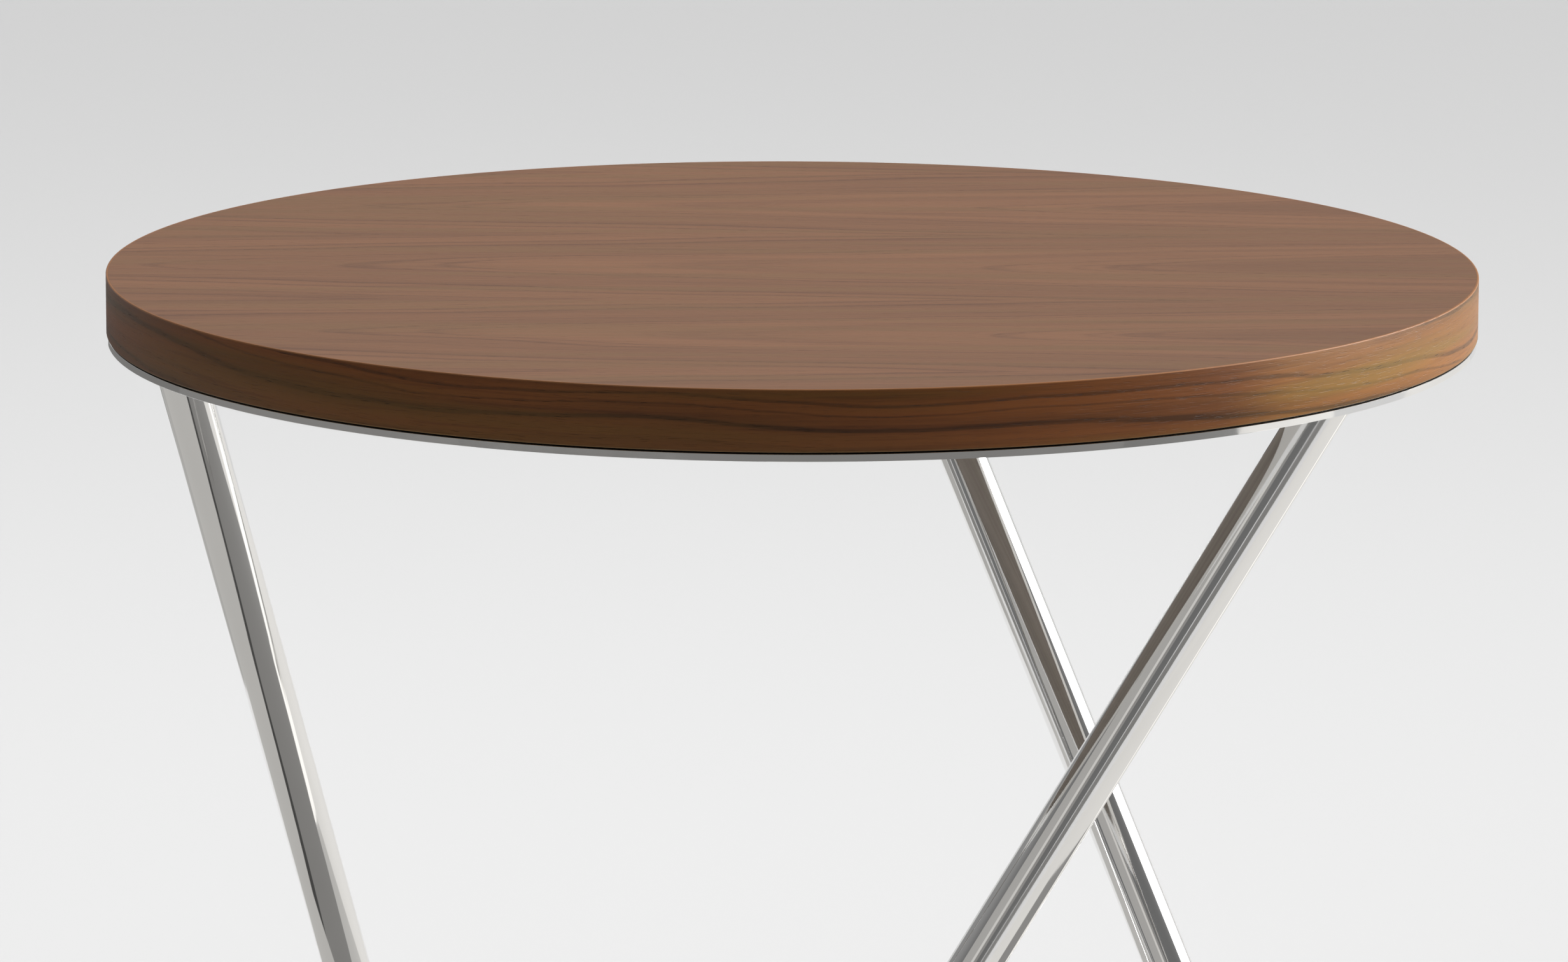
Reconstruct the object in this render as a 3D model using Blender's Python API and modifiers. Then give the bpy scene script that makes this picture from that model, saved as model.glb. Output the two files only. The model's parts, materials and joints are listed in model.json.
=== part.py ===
"""Folding tray table.

A round veneered tray lifts off a chromed steel ring. Three chromed tube legs lean
inwards and round the table, all the same way, so that the base looks twisted. Each
leg folds up under the ring on a friction hinge hidden inside the top of its tube.
Metres, +Z up, origin on the floor under the middle of the tray.
"""
import math

import bmesh
import bpy
from mathutils import Matrix, Vector

for old in list(bpy.data.objects):
    bpy.data.objects.remove(old)

# Whole table
TABLE_HEIGHT = 0.500
FIT_GAP = 0.0003            # left wherever two pieces touch

# Tray: veneered board with a solid-looking edge band
TRAY_RADIUS = 0.300
TRAY_THICKNESS = 0.026
VENEER = 0.0009
EDGE_BAND = 0.0012
BUSH_OUTER = 0.0060
BUSH_WALL = 0.0018
BUSH_LENGTH = 0.0129

# Ring under the tray, with a thin rubber gasket that leaves a dark line
SHADOW_GAP = 0.0008
RING_OUTER = 0.2995
RING_INNER = 0.255
RING_THICKNESS = 0.0030
GASKET_OUTER = 0.297
GASKET_WIDTH = 0.010
GASKET_THICKNESS = 0.0005
STUD_CIRCLE = 0.272
STUD_SHANK = 0.0030
STUD_SPIGOT = 0.0038
STUD_HEAD = 0.0050
STUD_HEIGHT = 0.0105

# Legs: where each axis meets the underside of the ring, and how it leans for each
# unit of drop, towards the middle and round the table (clockwise from above)
LEG_ANGLES = {"left": 202.3, "right": 322.3, "rear": 82.3}
LEG_CIRCLE = 0.281
LEAN_IN = 0.405
LEAN_ROUND = 0.4885
TUBE_RADIUS = 0.01065
TUBE_WALL = 0.0015

# Hinge inside the top of each tube
PIVOT_DROP = 0.022          # pin's centre below the ring
FOLD_TURN = 36.0            # folded leg's direction, in degrees from straight inwards
PIN_RADIUS = 0.0030
PIN_LENGTH = 0.0164
TONGUE_THICKNESS = 0.0040
TONGUE_HALF_WIDTH = 0.0058
TONGUE_BOSS = 0.0065
WASHER_THICKNESS = 0.0010
WASHER_RADIUS = 0.0062
INSERT_RECESS = 0.0040
INSERT_DEPTH = 0.030
INSERT_BACK = 0.0075        # slot's closed side, from the pin's centre
SLOT_FLOOR = 0.0027         # centre of the slot's round end, below the pin

# Feet
PAD_THICKNESS = 0.0020
FLANGE_THICKNESS = 0.0037
PLUG_LENGTH = 0.028

TRAY_BOTTOM = TABLE_HEIGHT - TRAY_THICKNESS
RING_TOP = TRAY_BOTTOM - SHADOW_GAP
RING_BOTTOM = RING_TOP - RING_THICKNESS
BOARD_RADIUS = TRAY_RADIUS - EDGE_BAND - FIT_GAP
TUBE_BORE = TUBE_RADIUS - TUBE_WALL
PLUG_RADIUS = TUBE_BORE - FIT_GAP
HINGE_WIDTH = TONGUE_THICKNESS + 2 * WASHER_THICKNESS + 4 * FIT_GAP
BIG_STEPS = 96
SMALL_STEPS = 32
REACH = 0.04                # how far cutters and raw stock run past a cut


def collection(name):
    group = bpy.data.collections.new(name)
    bpy.context.scene.collection.children.link(group)
    return group


parts = collection("folding_tray_table")
cutters = collection("cutters")


def material(name, colour, roughness, metallic=0.0):
    mat = bpy.data.materials.new(name)
    mat.use_nodes = True
    shader = mat.node_tree.nodes["Principled BSDF"]
    shader.inputs["Base Color"].default_value = (*colour, 1.0)
    shader.inputs["Roughness"].default_value = roughness
    shader.inputs["Metallic"].default_value = metallic
    return mat


WALNUT_FACE = ("walnut_face", (0.26, 0.14, 0.085), 0.45)
WALNUT_EDGE = ("walnut_edge", (0.12, 0.065, 0.035), 0.50)
FIBREBOARD = ("fibreboard", (0.45, 0.33, 0.20), 0.80)
CHROME = ("chrome", (0.80, 0.80, 0.80), 0.06, 1.0)
STEEL = ("steel", (0.55, 0.55, 0.55), 0.35, 1.0)
BRASS = ("brass", (0.80, 0.60, 0.30), 0.30, 1.0)
RUBBER = ("rubber", (0.015, 0.015, 0.015), 0.70)
NYLON = ("nylon", (0.05, 0.05, 0.05), 0.50)
FELT = ("felt", (0.10, 0.10, 0.10), 0.95)


def add(name, mesh, finish, frame=None, parent=None):
    """Links a finished mesh as a part, or as a cutter when it has no finish."""
    piece = bpy.data.objects.new(name, mesh)
    (parts if finish else cutters).objects.link(piece)
    if finish:
        mesh.materials.append(material(f"{name}_{finish[0]}", *finish[1:]))
    else:
        piece.hide_render = True
        piece.display_type = "WIRE"
    if parent:
        piece.parent = parent
    elif frame:
        piece.matrix_world = frame
    return piece


def turned(name, profile, steps, finish, hollow=False, **place):
    """A shape turned about local Z; the profile runs down its outer side."""
    mesh = bpy.data.meshes.new(name)
    count = len(profile)
    edges = [(i, i + 1) for i in range(count - 1)]
    if hollow:
        edges.append((count - 1, 0))
    mesh.from_pydata([(radius, 0.0, z) for radius, z in profile], edges, [])
    piece = add(name, mesh, finish, **place)
    screw = piece.modifiers.new("turn", "SCREW")
    screw.steps = steps
    screw.render_steps = steps
    screw.use_merge_vertices = True
    screw.merge_threshold = 0.00005
    screw.use_smooth_shade = False
    return piece


def disc(name, radius, low, high, finish, steps=BIG_STEPS, **place):
    return turned(name, [(0, high), (radius, high), (radius, low), (0, low)], steps, finish, **place)


def sleeve(name, outer, inner, low, high, finish, steps=BIG_STEPS, **place):
    profile = [(outer, high), (outer, low), (inner, low), (inner, high)]
    return turned(name, profile, steps, finish, hollow=True, **place)


def prism(name, outline, thickness, axis, finish, **place):
    """An outline in the plane across the given local axis, thickened both ways from it."""
    mesh = bpy.data.meshes.new(name)
    shape = bmesh.new()
    half = thickness / 2
    if axis == "X":
        corners = [shape.verts.new((-half, a, b)) for a, b in outline]
        push = Vector((thickness, 0, 0))
    else:
        corners = [shape.verts.new((a, -half, b)) for a, b in outline]
        push = Vector((0, thickness, 0))
    face = shape.faces.new(corners)
    far = bmesh.ops.extrude_face_region(shape, geom=[face])["geom"]
    bmesh.ops.translate(shape, vec=push, verts=[v for v in far if isinstance(v, bmesh.types.BMVert)])
    bmesh.ops.recalc_face_normals(shape, faces=shape.faces)
    shape.to_mesh(mesh)
    shape.free()
    return add(name, mesh, finish, **place)


def slab(name, low, high):
    """A cutter that keeps what lies between two heights."""
    mesh = bpy.data.meshes.new(name)
    shape = bmesh.new()
    bmesh.ops.create_cube(shape, size=1.0)
    spread = 3 * TRAY_RADIUS
    bmesh.ops.scale(shape, vec=(spread, spread, high - low), verts=shape.verts)
    bmesh.ops.translate(shape, vec=(0, 0, (low + high) / 2), verts=shape.verts)
    shape.to_mesh(mesh)
    shape.free()
    return add(name, mesh, None)


def boolean(piece, operation, other):
    step = piece.modifiers.new(operation.lower(), "BOOLEAN")
    step.operation = operation
    step.solver = "EXACT"
    step.object = other


def arc(radius, start, stop, count, centre=(0.0, 0.0)):
    """Points on an arc, angles in degrees."""
    angles = [math.radians(start + (stop - start) * i / count) for i in range(count + 1)]
    return [(centre[0] + radius * math.cos(a), centre[1] + radius * math.sin(a)) for a in angles]


def around(angle):
    """Unit vectors outwards and round the table at a leg's angle."""
    turn = math.radians(angle)
    outward = Vector((math.cos(turn), math.sin(turn), 0))
    return outward, Vector((-outward.y, outward.x, 0))


def leg_frame(angle):
    """The pin's centre, with local X out of the slot, Y along the pin, Z down the tube."""
    outward, sideways = around(angle)
    lean = -LEAN_IN * outward - LEAN_ROUND * sideways
    down = Vector((lean.x, lean.y, -1.0))
    pivot = LEG_CIRCLE * outward + PIVOT_DROP * down
    pivot.z += RING_BOTTOM
    turn = math.radians(FOLD_TURN)
    folded = -math.cos(turn) * outward - math.sin(turn) * sideways
    tube_axis = down.normalized()
    pin_axis = down.cross(folded).normalized()
    slot_side = pin_axis.cross(tube_axis)
    frame = Matrix((slot_side, pin_axis, tube_axis)).transposed().to_4x4()
    frame.translation = pivot
    return frame


# Tray
disc("top_veneer", BOARD_RADIUS, TABLE_HEIGHT - VENEER, TABLE_HEIGHT, WALNUT_FACE)
sleeve("edge_band", TRAY_RADIUS, TRAY_RADIUS - EDGE_BAND, TRAY_BOTTOM, TABLE_HEIGHT, WALNUT_EDGE)
core = disc("tray_core", BOARD_RADIUS, TRAY_BOTTOM + VENEER + FIT_GAP,
            TABLE_HEIGHT - VENEER - FIT_GAP, FIBREBOARD)
backing = disc("backing_veneer", BOARD_RADIUS, TRAY_BOTTOM, TRAY_BOTTOM + VENEER, WALNUT_EDGE)

# Ring and gasket
ring = sleeve("support_ring", RING_OUTER, RING_INNER, RING_BOTTOM, RING_TOP, CHROME)
gasket_low = RING_TOP + (SHADOW_GAP - GASKET_THICKNESS) / 2
sleeve("ring_gasket", GASKET_OUTER, GASKET_OUTER - GASKET_WIDTH, gasket_low,
       gasket_low + GASKET_THICKNESS, RUBBER)

# Locating studs riveted through the ring, and the bushes that drop over them
for number, leg_angle in enumerate(LEG_ANGLES.values(), 1):
    place = Matrix.Translation(STUD_CIRCLE * around(leg_angle + 60)[0])
    turned(f"locating_stud_{number}", [
        (0, RING_TOP + STUD_HEIGHT),
        (STUD_SPIGOT * 0.75, RING_TOP + STUD_HEIGHT),
        (STUD_SPIGOT, RING_TOP + STUD_HEIGHT - STUD_SPIGOT * 0.25),
        (STUD_SPIGOT, RING_TOP + FIT_GAP),
        (STUD_SHANK, RING_TOP + FIT_GAP),
        (STUD_SHANK, RING_BOTTOM - FIT_GAP),
        (STUD_HEAD, RING_BOTTOM - FIT_GAP),
        (STUD_HEAD, RING_BOTTOM - FIT_GAP - 0.0015),
        (STUD_HEAD * 0.6, RING_BOTTOM - FIT_GAP - 0.0025),
        (0, RING_BOTTOM - FIT_GAP - 0.0025),
    ], SMALL_STEPS, STEEL, frame=place)
    sleeve(f"stud_bush_{number}", BUSH_OUTER, BUSH_OUTER - BUSH_WALL, TRAY_BOTTOM,
           TRAY_BOTTOM + BUSH_LENGTH, BRASS, SMALL_STEPS, frame=place)
    hole = disc(f"cut_ring_hole_{number}", STUD_SHANK + FIT_GAP, RING_BOTTOM - REACH,
                RING_TOP + REACH, None, SMALL_STEPS, frame=place)
    pocket = disc(f"cut_bush_pocket_{number}", BUSH_OUTER + FIT_GAP, TRAY_BOTTOM - REACH,
                  TRAY_BOTTOM + BUSH_LENGTH + FIT_GAP, None, SMALL_STEPS, frame=place)
    boolean(ring, "DIFFERENCE", hole)
    boolean(core, "DIFFERENCE", pocket)
    boolean(backing, "DIFFERENCE", pocket)

# Cutters that every leg shares: the heights between which each piece lies
flange_low = PAD_THICKNESS + FIT_GAP
flange_high = flange_low + FLANGE_THICKNESS
tube_slab = slab("cut_tube_heights", flange_high + FIT_GAP, RING_BOTTOM - FIT_GAP)
tongue_slab = slab("cut_tongue_heights", 0, RING_BOTTOM - FIT_GAP)
insert_slab = slab("cut_insert_heights", 0, RING_BOTTOM - INSERT_RECESS)
flange_slab = slab("cut_flange_heights", flange_low, flange_high)
shank_slab = slab("cut_shank_heights", flange_low + FLANGE_THICKNESS / 2, TABLE_HEIGHT)
pad_slab = slab("cut_pad_heights", 0, PAD_THICKNESS)

lean_length = math.sqrt(1 + LEAN_IN ** 2 + LEAN_ROUND ** 2)
pin_to_floor = (RING_BOTTOM - PIVOT_DROP) * lean_length

for side, leg_angle in LEG_ANGLES.items():
    frame = leg_frame(leg_angle)
    leg = bpy.data.objects.new(f"{side}_leg_pivot", None)
    parts.objects.link(leg)
    leg.matrix_world = frame

    # Tongue welded under the ring: it fills none of the slot when the leg is open
    tongue = prism(f"{side}_hinge_tongue",
                   [(-TONGUE_HALF_WIDTH, -REACH), (TONGUE_HALF_WIDTH, -REACH)]
                   + arc(TONGUE_BOSS, -27, 207, 18), TONGUE_THICKNESS, "Y", STEEL, frame=frame)
    across = frame @ Matrix.Rotation(math.pi / 2, 4, "X")
    pin_hole = disc(f"cut_{side}_pin_hole", PIN_RADIUS + FIT_GAP, -REACH, REACH, None,
                    SMALL_STEPS, frame=across)
    boolean(tongue, "INTERSECT", tongue_slab)
    boolean(tongue, "DIFFERENCE", pin_hole)

    # Tube, mitred level at both ends, with the slot that the tongue swings out of
    tube = sleeve(f"{side}_leg_tube", TUBE_RADIUS, TUBE_BORE, -REACH, pin_to_floor + REACH,
                  CHROME, SMALL_STEPS, parent=leg)
    slot_half = TONGUE_THICKNESS / 2 + FIT_GAP
    slot_end = arc(slot_half, 0, 180, 12, centre=(0, SLOT_FLOOR))
    slot = prism(f"cut_{side}_tube_slot", [(-slot_half, -2 * REACH), (slot_half, -2 * REACH)]
                 + slot_end, 2 * TUBE_RADIUS, "X", None,
                 frame=frame @ Matrix.Translation((TUBE_RADIUS * 1.3, 0, 0)))
    boolean(tube, "INTERSECT", tube_slab)
    boolean(tube, "DIFFERENCE", slot)

    # Steel insert fixed in the tube's end: it carries the pin either side of the tongue
    insert = disc(f"{side}_hinge_insert", PLUG_RADIUS, -REACH, INSERT_DEPTH, STEEL, SMALL_STEPS,
                  parent=leg)
    room_floor = TONGUE_BOSS + 2 * FIT_GAP
    room = prism(f"cut_{side}_insert_slot",
                 [(-HINGE_WIDTH / 2, -2 * REACH), (HINGE_WIDTH / 2, -2 * REACH),
                  (HINGE_WIDTH / 2, room_floor), (-HINGE_WIDTH / 2, room_floor)],
                 2 * REACH, "X", None,
                 frame=frame @ Matrix.Translation((REACH - INSERT_BACK, 0, 0)))
    boolean(insert, "INTERSECT", insert_slab)
    boolean(insert, "DIFFERENCE", room)
    boolean(insert, "DIFFERENCE", pin_hole)

    # Pin and the two friction washers that grip the tongue
    pin = disc(f"{side}_hinge_pin", PIN_RADIUS, -PIN_LENGTH / 2, PIN_LENGTH / 2, STEEL, SMALL_STEPS,
               parent=leg)
    pin.rotation_euler = (math.pi / 2, 0, 0)
    washer_low = TONGUE_THICKNESS / 2 + FIT_GAP
    for end, low in (("outer", washer_low), ("inner", -washer_low - WASHER_THICKNESS)):
        washer = sleeve(f"{side}_{end}_friction_washer", WASHER_RADIUS, PIN_RADIUS + FIT_GAP, low,
                        low + WASHER_THICKNESS, NYLON, SMALL_STEPS, parent=leg)
        washer.rotation_euler = (math.pi / 2, 0, 0)

    # Foot: nylon plug in the tube with a level flange, and a felt pad under it
    plug = disc(f"{side}_foot_plug", TUBE_RADIUS, pin_to_floor - REACH, pin_to_floor + REACH, NYLON,
                SMALL_STEPS, parent=leg)
    shank = disc(f"cut_{side}_plug_shank", PLUG_RADIUS, pin_to_floor - PLUG_LENGTH,
                 pin_to_floor + REACH, None, SMALL_STEPS, frame=frame)
    boolean(shank, "INTERSECT", shank_slab)
    boolean(plug, "INTERSECT", flange_slab)
    boolean(plug, "UNION", shank)
    pad = disc(f"{side}_foot_pad", TUBE_RADIUS, pin_to_floor - REACH, pin_to_floor + REACH, FELT,
               SMALL_STEPS, parent=leg)
    boolean(pad, "INTERSECT", pad_slab)
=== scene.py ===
"""Looks for the folding tray table: veneered tray, chromed ring, three folding legs."""
import json
import math

import bmesh
import bpy
from mathutils import Matrix, Vector


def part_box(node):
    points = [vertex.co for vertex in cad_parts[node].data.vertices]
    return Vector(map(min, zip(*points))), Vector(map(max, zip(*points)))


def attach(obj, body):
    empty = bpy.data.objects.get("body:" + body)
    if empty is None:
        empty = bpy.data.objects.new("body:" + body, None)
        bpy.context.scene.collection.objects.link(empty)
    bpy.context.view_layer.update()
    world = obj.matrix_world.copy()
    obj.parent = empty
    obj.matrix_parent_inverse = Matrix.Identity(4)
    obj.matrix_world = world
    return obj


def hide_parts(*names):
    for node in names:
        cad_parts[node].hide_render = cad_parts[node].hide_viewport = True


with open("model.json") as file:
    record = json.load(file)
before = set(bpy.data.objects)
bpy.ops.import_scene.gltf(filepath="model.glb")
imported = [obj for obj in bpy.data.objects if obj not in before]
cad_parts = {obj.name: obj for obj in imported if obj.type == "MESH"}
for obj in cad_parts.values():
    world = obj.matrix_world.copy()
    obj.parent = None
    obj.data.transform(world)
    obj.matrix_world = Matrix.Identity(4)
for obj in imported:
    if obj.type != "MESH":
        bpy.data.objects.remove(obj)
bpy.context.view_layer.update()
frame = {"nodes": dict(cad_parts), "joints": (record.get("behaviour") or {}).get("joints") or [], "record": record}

nodes = frame["nodes"]


# ---- Tray core -------------------------------------------------------------------
# Fibreboard disc that the veneers are pressed onto. It shows only inside the three
# pockets for the bushes, as the pale furry wall that a drill leaves.

class NodeTree:
    """A tree of shader or geometry nodes, where each node is added and linked in one call."""

    def __init__(self, tree):
        self.tree = tree

    def node(self, kind, settings=(), **sockets):
        made = self.tree.nodes.new(kind if kind.startswith("Geometry") else "ShaderNode" + kind)
        for name, value in dict(settings).items():
            setattr(made, name, value)
        for name, value in sockets.items():
            place = int(name[1:]) if name[1:].isdigit() else name.replace("_", " ")
            self.feed(made.inputs[place], value)
        return made

    def feed(self, socket, value):
        if isinstance(value, bpy.types.NodeSocket):
            self.tree.links.new(value, socket)
        elif isinstance(value, tuple) and len(value) == 3 and socket.type == "RGBA":
            socket.default_value = (*value, 1.0)
        else:
            socket.default_value = value

    def math(self, operation, first, second=0.0, third=0.0):
        made = self.node("Math", {"operation": operation}, _0=first, _1=second, _2=third)
        return made.outputs[0]

    def mix(self, factor, dark, light, blend="MIX"):
        made = self.node("Mix", {"data_type": "RGBA", "blend_type": blend}, Factor=factor)
        colours = [s for s in made.inputs if s.type == "RGBA"]
        self.feed(colours[0], dark)
        self.feed(colours[1], light)
        return made.outputs[2]

    def noise(self, place, scale, detail=2.0, roughness=0.5):
        return self.node("TexNoise", Vector=place, Scale=scale, Detail=detail,
                         Roughness=roughness).outputs["Fac"]

    def stretch(self, place, scale):
        return self.node("Mapping", Vector=place, Scale=scale).outputs[0]

    def ramp(self, value, low, high, to_low=0.0, to_high=1.0):
        made = self.node("MapRange", {"interpolation_type": "SMOOTHSTEP"}, Value=value)
        for place, number in zip((1, 2, 3, 4), (low, high, to_low, to_high)):
            made.inputs[place].default_value = number
        return made.outputs[0]


def new_material(name, roughness, metallic=0.0, **fixed):
    """A Principled material, ready for its colour, roughness and normal to be linked."""
    mat = bpy.data.materials.new(name)
    mat.use_nodes = True
    shader = NodeTree(mat.node_tree)
    surface = mat.node_tree.nodes["Principled BSDF"]
    surface.inputs["Roughness"].default_value = roughness
    surface.inputs["Metallic"].default_value = metallic
    for socket, value in fixed.items():
        surface.inputs[socket.replace("_", " ")].default_value = value
    return mat, shader, surface


def new_group(name, inputs, outputs):
    """A shared shader effect with named inputs and outputs."""
    tree = bpy.data.node_groups.new(name, "ShaderNodeTree")
    for label, kind, value in inputs:
        socket = tree.interface.new_socket(label, in_out="INPUT", socket_type=kind)
        if value is not None:
            socket.default_value = value
    for label, kind in outputs:
        tree.interface.new_socket(label, in_out="OUTPUT", socket_type=kind)
    start = tree.nodes.new("NodeGroupInput")
    end = tree.nodes.new("NodeGroupOutput")
    return tree, NodeTree(tree), start.outputs, end.inputs


def dress(node, mat):
    """Gives a CAD node that stays its finish."""
    mesh = nodes[node].data
    mesh.materials.clear()
    mesh.materials.append(mat)


FLUFF_RELIEF = 0.0003
board, core, surface = new_material("fibreboard", 0.85)
place = core.node("TexCoord").outputs["Object"]
fluff = core.noise(core.stretch(place, (900, 900, 2600)), 1.0, 3.0, 0.6)
core.feed(surface.inputs["Base Color"], core.mix(fluff, (0.34, 0.24, 0.14), (0.52, 0.40, 0.26)))
core.feed(surface.inputs["Normal"], core.node("Bump", Strength=0.5, Distance=FLUFF_RELIEF,
                                              Height=fluff).outputs[0])
dress("tray_core", board)


# ---- Top veneer --------------------------------------------------------------------
# Sliced walnut laid in one piece across the tray, grain running left to right, with
# long soft arches where the slice cuts the growth rings. Sanded and satin lacquered.

WALNUT_PORE = (0.03, 0.015, 0.008)
VEIN_SHADE = (0.66, 0.60, 0.56)
GRAIN_RELIEF = 0.0002
walnut, ply, start, end = new_group("walnut_figure", [
    ("Place", "NodeSocketVector", None),        # metres, X along the grain
    ("Ring Width", "NodeSocketFloat", 0.012),
    ("Arch Slope", "NodeSocketFloat", 0.1),
    ("Leaf Width", "NodeSocketFloat", 0.1),
    ("Dark", "NodeSocketColor", (0.1, 0.04, 0.02, 1)),
    ("Light", "NodeSocketColor", (0.2, 0.08, 0.03, 1)),
    ("Olive", "NodeSocketColor", (0.12, 0.07, 0.03, 1)),
    ("Contrast", "NodeSocketFloat", 1.0),
], [("Color", "NodeSocketColor"), ("Roughness", "NodeSocketFloat"),
    ("Height", "NodeSocketFloat")])
sway = ply.noise(ply.stretch(start["Place"], (2.2, 9.0, 9.0)), 1.0, 2.0)
ripple = ply.noise(ply.stretch(start["Place"], (14.0, 40.0, 40.0)), 1.0, 2.0)
parts = ply.node("SeparateXYZ", Vector=start["Place"]).outputs
across = ply.math("ADD", parts[1], ply.math("MULTIPLY_ADD", sway, 0.05, -0.025))
across = ply.math("ADD", across, ply.math("MULTIPLY_ADD", ripple, 0.005, -0.0025))
leaf = ply.math("PINGPONG", across, start["Leaf Width"])
bow = ply.math("SQRT", ply.math("MULTIPLY_ADD", leaf, leaf, 0.0003))
climb = ply.math("MULTIPLY", parts[0], start["Arch Slope"])
rings = ply.math("DIVIDE", ply.math("SUBTRACT", bow, climb), start["Ring Width"])
broad = ply.node("TexNoise", {"noise_dimensions": "1D"}, W=rings, Scale=0.45, Detail=1.0).outputs[0]
fine = ply.node("TexNoise", {"noise_dimensions": "1D"}, W=rings, Scale=1.7, Detail=2.0,
                Roughness=0.6).outputs[0]
late_wood = ply.ramp(fine, 0.53, 0.68)
streak = ply.noise(ply.stretch(start["Place"], (6.0, 380.0, 380.0)), 1.0, 3.0, 0.6)
fibre = ply.noise(ply.stretch(start["Place"], (45.0, 2400.0, 2400.0)), 1.0, 2.0, 0.7)
patch = ply.noise(ply.stretch(start["Place"], (2.6, 60.0, 60.0)), 1.0, 2.0)
dash = ply.noise(ply.stretch(start["Place"], (110.0, 2100.0, 2100.0)), 1.0, 1.0)
crowd = ply.math("MULTIPLY_ADD", late_wood, 0.7, 0.3)
pore = ply.math("MULTIPLY", ply.ramp(dash, 0.60, 0.70), crowd)
strand = ply.noise(ply.stretch(start["Place"], (9.0, 400.0, 400.0)), 1.0, 2.0, 0.6)
vein = ply.ramp(strand, 0.55, 0.68)
tone = ply.math("SUBTRACT", ply.ramp(broad, 0.25, 0.75, 0.12, 0.88),
                ply.math("MULTIPLY", late_wood, 0.6))
tone = ply.math("ADD", tone, ply.math("MULTIPLY_ADD", streak, 1.1, -0.45))
tone = ply.math("ADD", tone, ply.math("MULTIPLY_ADD", fibre, 0.6, -0.3))
tone = ply.math("MULTIPLY_ADD", ply.math("SUBTRACT", tone, 0.4), start["Contrast"], 0.5)
wood = ply.mix(tone, start["Dark"], start["Light"])
wood = ply.mix(ply.math("MULTIPLY", ply.ramp(patch, 0.45, 0.65), 0.6), wood, start["Olive"])
wood = ply.mix(ply.math("MULTIPLY", vein, 0.5), wood, VEIN_SHADE, "MULTIPLY")
wood = ply.mix(ply.math("MULTIPLY", pore, 0.5), wood, WALNUT_PORE)
ply.feed(end["Color"], wood)
ply.feed(end["Roughness"], ply.math("MULTIPLY_ADD", pore, 0.25, ply.math("MULTIPLY", fibre, 0.12)))
ply.feed(end["Height"], ply.math("SUBTRACT", ply.math("MULTIPLY", fibre, 0.25), pore))


def walnut_material(name, place_socket, roughness, bump, figure, **fixed):
    """Lacquered walnut; figure holds the group's own sizes and colours."""
    mat, shader, surface = new_material(name, roughness, **fixed)
    coords = shader.node("TexCoord").outputs[place_socket]
    group = shader.node("Group", {"node_tree": walnut}, Place=coords)
    for label, value in figure.items():
        shader.feed(group.inputs[label.replace("_", " ")], value)
    shader.feed(surface.inputs["Base Color"], group.outputs["Color"])
    shader.feed(surface.inputs["Roughness"],
                shader.math("ADD", group.outputs["Roughness"], roughness))
    shader.feed(surface.inputs["Normal"], shader.node(
        "Bump", Strength=bump, Distance=GRAIN_RELIEF, Height=group.outputs["Height"]).outputs[0])
    return mat


# Every turned part is made alike: its profile is carried round a circle, and the result
# is set down at equal steps round the table's axis.
SPINDLE = 0.1
WELD = 0.000001
CREASE = math.radians(32)
turning = bpy.data.node_groups.new("turned_parts", "GeometryNodeTree")
turning_inputs = {
    label: turning.interface.new_socket(label, in_out="INPUT", socket_type=kind).identifier
    for label, kind in (
        ("Outline", "NodeSocketGeometry"), ("Steps", "NodeSocketInt"), ("Count", "NodeSocketInt"),
        ("Pitch Radius", "NodeSocketFloat"), ("First Angle", "NodeSocketFloat"),
        ("Material", "NodeSocketMaterial"))}
turning.interface.new_socket("Parts", in_out="OUTPUT", socket_type="NodeSocketGeometry")
bench = NodeTree(turning)
start = turning.nodes.new("NodeGroupInput").outputs
end = turning.nodes.new("NodeGroupOutput").inputs
outline = bench.node("GeometryNodeMeshToCurve", Mesh=start["Outline"]).outputs[0]
spindle = bench.node("GeometryNodeCurvePrimitiveCircle", {"mode": "RADIUS"},
                     Resolution=start["Steps"], Radius=SPINDLE).outputs[0]
spindle = bench.node("GeometryNodeSetCurveNormal", {"mode": "Z_UP"}, Curve=spindle).outputs[0]
spun = bench.node("GeometryNodeCurveToMesh", Curve=spindle, Profile_Curve=outline).outputs[0]
spun = bench.node("GeometryNodeMergeByDistance", Geometry=spun, Distance=WELD).outputs[0]
number = bench.node("GeometryNodeInputIndex").outputs[0]
turn = bench.math("MULTIPLY_ADD", bench.math("DIVIDE", number, start["Count"]), 2 * math.pi,
                  start["First Angle"])
spot = bench.node(
    "CombineXYZ", X=bench.math("MULTIPLY", bench.math("COSINE", turn), start["Pitch Radius"]),
    Y=bench.math("MULTIPLY", bench.math("SINE", turn), start["Pitch Radius"])).outputs[0]
spots = bench.node("GeometryNodePoints", Count=start["Count"], Position=spot).outputs[0]
copies = bench.node("GeometryNodeInstanceOnPoints", Points=spots, Instance=spun).outputs[0]
copies = bench.node("GeometryNodeRealizeInstances", Geometry=copies).outputs[0]
bench.feed(end["Parts"], bench.node("GeometryNodeSetMaterial", Geometry=copies,
                                    Material=start["Material"]).outputs[0])


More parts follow.
